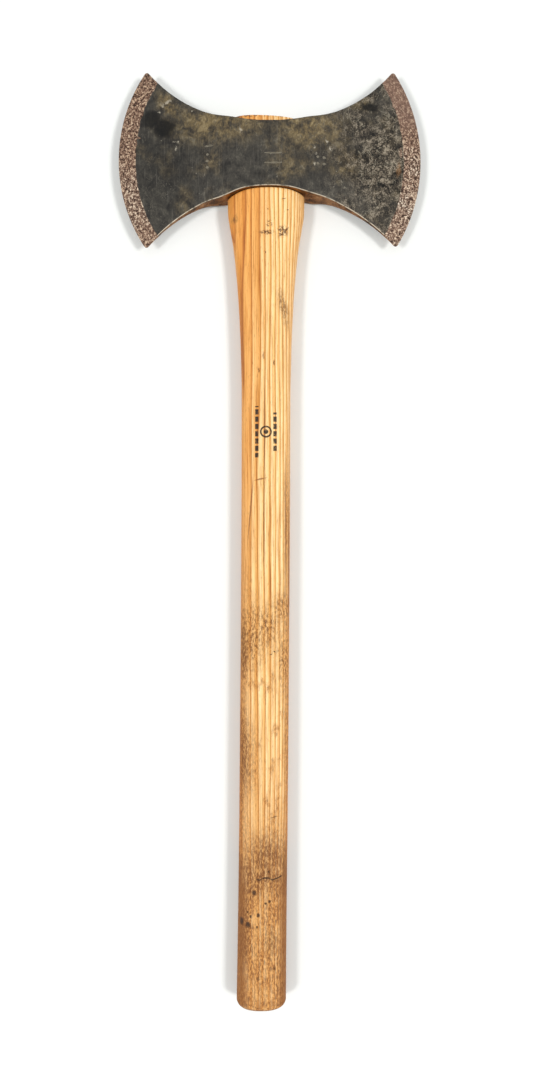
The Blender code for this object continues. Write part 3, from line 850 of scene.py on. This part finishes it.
def bit_grid(bit):
    """Points of a bit as rows of closed sections from the centre line to the edge, with attributes."""
    along = np.concatenate([
        np.linspace(0, BEVEL_START, CHEEK_SECTIONS, endpoint=False),
        mix(BEVEL_START, 1.0, np.linspace(0, 1, BEVEL_SECTIONS + 1)),
    ])[:, None]
    length = section_length(bit, along)
    ground = EDGE_HALF + (1 - along) * (BEVEL_HALF - EDGE_HALF) / (1 - BEVEL_START)
    half = np.minimum(smooth_through(CHEEK_THICKNESS, along), ground)
    share, height, rim = section_loop(along, half, length)
    plan = rounded_outline(bit, along, share)
    points = np.stack([plan[..., 0], bit.side * plan[..., 1], MID_Z + height], -1)
    return points, {"along": along + 0 * share, "rim": rim, "share": share}


def edge_cap(count, first):
    """Faces that close a cutting edge, whose section is a thin closed strip."""
    side = CHEEK_POINTS + 2 * ARRIS_POINTS
    lower = side + WALL_POINTS

    def ring(i):
        return first + i % count

    faces = []
    for i in range(side - 1):
        faces.append([ring(i), ring(i + 1), ring(lower + side - 2 - i), ring(lower + side - 1 - i)])
    faces[0] += [ring(count - WALL_POINTS + k) for k in range(WALL_POINTS)]
    last = faces[-1]
    faces[-1] = [last[0]] + [ring(side - 1 + k) for k in range(WALL_POINTS + 2)] + [last[3]]
    return faces


def oval_ring(x, centre_y, half_y, half_z, sides=HAFT_SIDES):
    """A superellipse across X; x may be one number or one for each point."""
    angle = np.linspace(0, 2 * math.pi, sides, endpoint=False)
    c, s = np.cos(angle), np.sin(angle)
    y = centre_y + np.sign(c) * np.abs(c) ** (2 / OVAL_POWER) * half_y
    z = MID_Z + np.sign(s) * np.abs(s) ** (2 / OVAL_POWER) * half_z
    return np.stack(np.broadcast_arrays(x, y, z), -1)


def eye_ring(x, grow=0.0):
    share = (x - HEAD_BOTTOM_X) / (HEAD_TOP_X - HEAD_BOTTOM_X)
    half_width = mix(EYE_BOTTOM_HALF_WIDTH, EYE_TOP_HALF_WIDTH, share)
    return oval_ring(x, HAFT_AXIS_Y, EYE_HALF_LENGTH + grow, half_width + grow)


# Plain punch marks on the upper cheek, of no maker, as (x, y, half_x, half_y).
DOT = 0.0011
PUNCH_MARKS = [(0.3490, 0.0586, DOT, DOT), (0.3550, 0.0588, DOT, DOT), (0.3610, 0.0587, DOT, DOT)]
PUNCH_MARKS += [(0.3690, 0.0587, 0.0006, 0.0040)]
PUNCH_MARKS += [(0.3600, -0.0030, 0.0006, 0.0080), (0.3510, -0.0032, 0.0006, 0.0080)]
PUNCH_MARKS += [(0.3540 + dx, -0.0480 + dy, DOT, DOT) for dx in (-0.003, 0.003) for dy in (-0.003, 0.003)]
PUNCH_DEPTH = 0.0006
PUNCH_SIDES = 14


def punch(head, x, y, half_x, half_y):
    """The point of a punch, sunk into the upper cheek."""
    surface = head.ray_cast((x, y, 0.1), (0.0, 0.0, -1.0))[1].z
    angle = np.linspace(0, 2 * math.pi, PUNCH_SIDES, endpoint=False)
    rings = []
    for height, size in ((-PUNCH_DEPTH, 0.45), (0.0, 1.0), (0.002, 1.6)):
        ring_x, ring_y = x + half_x * size * np.cos(angle), y + half_y * size * np.sin(angle)
        rings.append(np.stack([ring_x, ring_y, np.full(PUNCH_SIDES, surface + height)], -1))
    return capped_tube(rings)


def build_head():
    left, left_marks = bit_grid(LEFT_BIT)
    right, right_marks = bit_grid(RIGHT_BIT)
    points = np.concatenate([right[:0:-1], left])
    rows, count = points.shape[:2]
    faces = tube_faces(rows, count) + edge_cap(count, 0) + edge_cap(count, (rows - 1) * count)
    head = add_piece("axe_head_forged", points.reshape(-1, 3), faces)
    for name in left_marks:
        store(head, name, np.concatenate([right_marks[name][:0:-1], left_marks[name]]))
    flat = points.reshape(-1, 3)
    along = np.concatenate([right_marks["along"][:0:-1], left_marks["along"]]).ravel()
    depth = FORGING_DEPTH * (0.5 + 0.5 * field(flat, FORGING_WAVE, 2))
    depth += HAMMER_DEPTH * (0.5 + field(flat, HAMMER_WAVE, 2))
    x, y, half_x, half_y = PIT_ZONE
    zone = ease(np.hypot((flat[:, 0] - x) / half_x, (flat[:, 1] - y) / half_y), 1.5, 0.5)
    depth += SCALE_PIT_DEPTH * ease(field(flat, SCALE_PIT_WAVE, 3), 0.15, 0.60) * zone
    carve(head, depth * ease(along, 1.0, BEVEL_START))
    margin = 0.012
    eye = capped_tube([eye_ring(HEAD_BOTTOM_X - margin), eye_ring(HEAD_TOP_X + margin)])
    cut(head, eye)
    # The punch marks' new vertices carry the mask for their painted highlight.
    store(head, "punch_highlight", cut(head, join([punch(head, *mark) for mark in PUNCH_MARKS])))
    return hand_over(head, "axe_head", forged_steel(), 35)


# Haft


def haft_axis(x):
    share = np.maximum((BOW_START_X - x) / (BOW_START_X - BUTT_X), 0.0)
    return HAFT_AXIS_Y + BOW * share**BOW_POWER


def haft_ring(x, inset_y=0.0, inset_z=0.0, shrink=1.0):
    half_y = smooth_through(HAFT_WIDTH, x) / 2 - inset_y
    half_z = smooth_through(HAFT_THICKNESS, x) / 2 - inset_z
    return oval_ring(x, haft_axis(x), half_y * shrink, half_z * shrink)


def follow_head(ring, x, strength=1.0):
    """Bends a ring to the curve of the head's bottom edge; x is where it meets the centre line."""
    y = ring[:, 1]
    bottom = np.where(y >= 0, waist_x(LEFT_BIT, np.abs(y), False), waist_x(RIGHT_BIT, np.abs(y), False))
    ring[:, 0] = x + strength * (bottom - HEAD_BOTTOM_X)
    return ring


def haft_places(start, end):
    """Places of the haft's rings, closer together where the crack runs across."""
    fine = np.linspace(start, end, 4000)
    density = np.cumsum(1 + 4 * np.exp(-(((fine - CRACK_X) / 0.006) ** 2)))
    share = (density - density[0]) / (density[-1] - density[0])
    return np.interp(np.linspace(0, 1, HAFT_RINGS), share, fine)


def haft_rings():
    rings = [haft_ring(BUTT_X, BUTT_ROUND_SIDE, BUTT_ROUND_CHEEK, s) for s in (0.2, 0.4, 0.6, 0.8)]
    for degrees in range(0, 88, 7):
        a = math.radians(degrees)
        shrink = 1 - math.sin(a)
        x = BUTT_X + BUTT_ROUND_LENGTH * (1 - math.cos(a))
        rings.append(haft_ring(x, BUTT_ROUND_SIDE * shrink, BUTT_ROUND_CHEEK * shrink))
    shoulder = HEAD_BOTTOM_X - CLEARANCE
    for x in haft_places(BUTT_X + BUTT_ROUND_LENGTH, shoulder - SHOULDER_CHAMFER):
        bend = max(1 - (shoulder - SHOULDER_CHAMFER - x) / SHOULDER_CURVE_LENGTH, 0.0) ** 2
        rings.append(follow_head(haft_ring(x), x, bend))
    for share in (0.3, 0.65, 1.0):
        inset = SHOULDER_CHAMFER * share**1.5
        x = shoulder - SHOULDER_CHAMFER * (1 - share)
        rings.append(follow_head(haft_ring(shoulder, inset, inset), x))
    return rings


def tongue_rings():
    rings = [follow_head(eye_ring(HEAD_BOTTOM_X, -CLEARANCE), HEAD_BOTTOM_X - CLEARANCE)]
    rings += [eye_ring(x, -CLEARANCE) for x in np.linspace(HEAD_BOTTOM_X + 0.004, HEAD_TOP_X, 24)]
    edge = ((0.0045, 0.0), (0.003, 0.0), (TONGUE_CHAMFER, 0.0), (0.0003, 0.0002), (0.0, TONGUE_CHAMFER))
    for below, inset in edge:
        ring = eye_ring(HEAD_TOP_X, -CLEARANCE - inset)
        ring[:, 0] = TONGUE_TOP_X - below + TONGUE_TOP_SLOPE * (ring[:, 1] - HAFT_AXIS_Y)
        rings.append(ring)
    return rings


def slab_ring(x, half_y, half_z):
    corners = [(-half_y, -half_z), (half_y, -half_z), (half_y, half_z), (-half_y, half_z)]
    return [(x, HAFT_AXIS_Y + y, MID_Z + z) for y, z in corners]


def kerf_half(x):
    return mix(KERF_BOTTOM_HALF, KERF_TOP_HALF, (x - KERF_BOTTOM_X) / (TONGUE_TOP_X - KERF_BOTTOM_X))


def kerf():
    above = TONGUE_TOP_X + 0.004
    length = EYE_HALF_LENGTH * 1.2
    return capped_tube([slab_ring(x, length, kerf_half(x)) for x in (KERF_BOTTOM_X, above)])


def steel_slot(grow_z):
    """The room of the steel wedge, as a tapered block across the tongue."""
    rings = []
    for x in (STEEL_WEDGE_LOW.x - CLEARANCE * 2, TONGUE_TOP_X + 0.004):
        share = (x - STEEL_WEDGE_LOW.x) / (STEEL_WEDGE_HIGH.x - STEEL_WEDGE_LOW.x)
        half_y = mix(STEEL_WEDGE_HALF_TIP, STEEL_WEDGE_HALF_TOP, share) + CLEARANCE
        rings.append(slab_ring(x, half_y, STEEL_WEDGE_HALF_WIDTH + grow_z))
    return capped_tube(rings)


def dents(points):
    """Depth of the nicks and pits at each point of the haft."""
    depth = np.zeros(len(points))
    upper = points[:, 2] > MID_Z
    for x, y, half_x, half_y, *turn in NICKS + PITS:
        angle = turn[0] if turn else 0.0
        along, across = points[:, 0] - x, points[:, 1] - y
        u = (along * math.cos(angle) + across * math.sin(angle)) / (half_x + DENT_MARGIN)
        v = (across * math.cos(angle) - along * math.sin(angle)) / (half_y + DENT_MARGIN)
        depth = np.maximum(depth, DENT_DEPTH * ease(np.hypot(u, v), 1.2, 0.4) * upper)
    return depth


def cracked(points):
    """1 in the wavy crack across the upper side near the butt, 0 elsewhere."""
    x, y, z = points.T
    path = CRACK_X + 0.0010 * np.sin(y * 450) + 0.0003 * np.sin(y * 1100 + 1)
    ends = ease(y, -0.0125, -0.0100) * ease(y, 0.0138, 0.0110)
    return ease(np.abs(x - path), 0.0011, 0.0003) * ends * (z > MID_Z)


def build_haft():
    points, faces = capped_tube(haft_rings() + tongue_rings())
    haft = add_piece("haft_hickory", points, faces)
    on_haft = ease(points[:, 0], HEAD_BOTTOM_X, HEAD_BOTTOM_X - 0.01)
    depth = SPOKESHAVE_DEPTH * (0.5 + 0.5 * field(points, SPOKESHAVE_WAVE, 1, (3, 1, 1)))
    depth += GRAIN_DEPTH * (0.5 + field(points, GRAIN_WAVE, 2, (12, 1, 1)))
    depth += dents(points)
    crack = cracked(points)
    store(haft, "crack", crack)
    carve(haft, (depth + CRACK_DEPTH * crack) * on_haft)
    cut(haft, kerf(), steel_slot(CLEARANCE))
    return hand_over(haft, "haft", hickory(), 40)


# Wedges


def build_eye_wedge():
    levels = np.linspace(EYE_WEDGE_LOW.x, EYE_WEDGE_HIGH.x, 8)
    rings = [slab_ring(x, WOOD_WEDGE_HALF_LENGTH, kerf_half(x) - CLEARANCE) for x in levels]
    wedge = add_piece("eye_wedge_wood", *capped_tube(rings))
    cut(wedge, steel_slot(0.004))
    return hand_over(wedge, "eye_wedge", wedge_wood(), 30)


def steel_wedge_profile():
    """Half outline of the steel wedge from tip to top: each barb steps back in above its crest."""
    low, high = STEEL_WEDGE_LOW.x, STEEL_WEDGE_HIGH.x
    profile = [(low, STEEL_WEDGE_HALF_TIP)]
    for i in range(1, BARB_COUNT + 1):
        share = i / (BARB_COUNT + 1)
        x = mix(low, high, share)
        half = mix(STEEL_WEDGE_HALF_TIP, STEEL_WEDGE_HALF_TOP, share)
        profile += [(x, half), (x + 0.0004, half - BARB_DEPTH)]
    return profile + [(high, STEEL_WEDGE_HALF_TOP)]


def build_steel_wedge():
    profile = steel_wedge_profile()
    around = [(x, -half) for x, half in profile] + [(x, half) for x, half in reversed(profile)]
    rings = [
        [(x, HAFT_AXIS_Y + y, MID_Z + z) for x, y in around]
        for z in np.linspace(-STEEL_WEDGE_HALF_WIDTH, STEEL_WEDGE_HALF_WIDTH, 9)
    ]
    wedge = add_piece("steel_wedge_barbed", *capped_tube(rings))
    return hand_over(wedge, "steel_wedge", wedge_steel(), 30)


# Stage


def build_floor():
    size = 12.0
    mesh = bpy.data.meshes.new("floor")
    corners = [(-size, -size, 0), (size, -size, 0), (size, size, 0), (-size, size, 0)]
    mesh.from_pydata(corners, [], [(0, 1, 2, 3)])
    floor = bpy.data.objects.new("floor", mesh)
    floor.location.z = -0.00005
    bpy.context.scene.collection.objects.link(floor)
    s = Surface("pale_floor")
    mesh.materials.append(s.done(colour("f0f1ee"), 0.9, 0.0))
    s.shader.inputs["Specular IOR Level"].default_value = 0.1


def far_light(name, azimuth, strength):
    """A distant softbox; azimuth turns it from the left bit towards the butt, in degrees."""
    lamp = bpy.data.lights.new(name, "SUN")
    lamp.energy = strength
    lamp.angle = math.radians(LAMP_ANGLE)
    made = bpy.data.objects.new(name, lamp)
    made.rotation_euler = (math.radians(-LAMP_TILT), 0.0, math.radians(azimuth))
    bpy.context.scene.collection.objects.link(made)


def build_light():
    """Two far softboxes under a white dome that is brightest towards the horizon."""
    world = bpy.data.worlds.new("studio")
    world.use_nodes = True
    nodes, links = world.node_tree.nodes, world.node_tree.links
    direction = nodes.new("ShaderNodeTexCoord").outputs["Generated"]
    split = nodes.new("ShaderNodeSeparateXYZ")
    ramp = nodes.new("ShaderNodeMapRange")
    for name, value in (("From Min", 0.1), ("From Max", 0.5), ("To Min", 1.0), ("To Max", 0.56)):
        ramp.inputs[name].default_value = value
    background = nodes["Background"]
    background.inputs["Color"].default_value = (0.965, 0.985, 1.0, 1.0)
    links.new(direction, split.inputs[0])
    links.new(split.outputs["Z"], ramp.inputs["Value"])
    links.new(ramp.outputs[0], background.inputs["Strength"])
    bpy.context.scene.world = world
    far_light("left_softbox", 25, 1.16)
    far_light("right_softbox", 163, 1.38)


def build_camera():
    lens = bpy.data.cameras.new("camera")
    lens.sensor_width = 36.0
    lens.lens = 26.9
    camera = bpy.data.objects.new("camera", lens)
    camera.location = (CAMERA_X, CAMERA_Y, MID_Z + CAMERA_HEIGHT)
    camera.rotation_euler = (0.0, 0.0, -math.pi / 2)
    bpy.context.scene.collection.objects.link(camera)
    bpy.context.scene.camera = camera
    bpy.context.scene.view_settings.view_transform = "Standard"


build_camera()
build_light()
build_floor()
build_head()
build_haft()
build_eye_wedge()
build_steel_wedge()
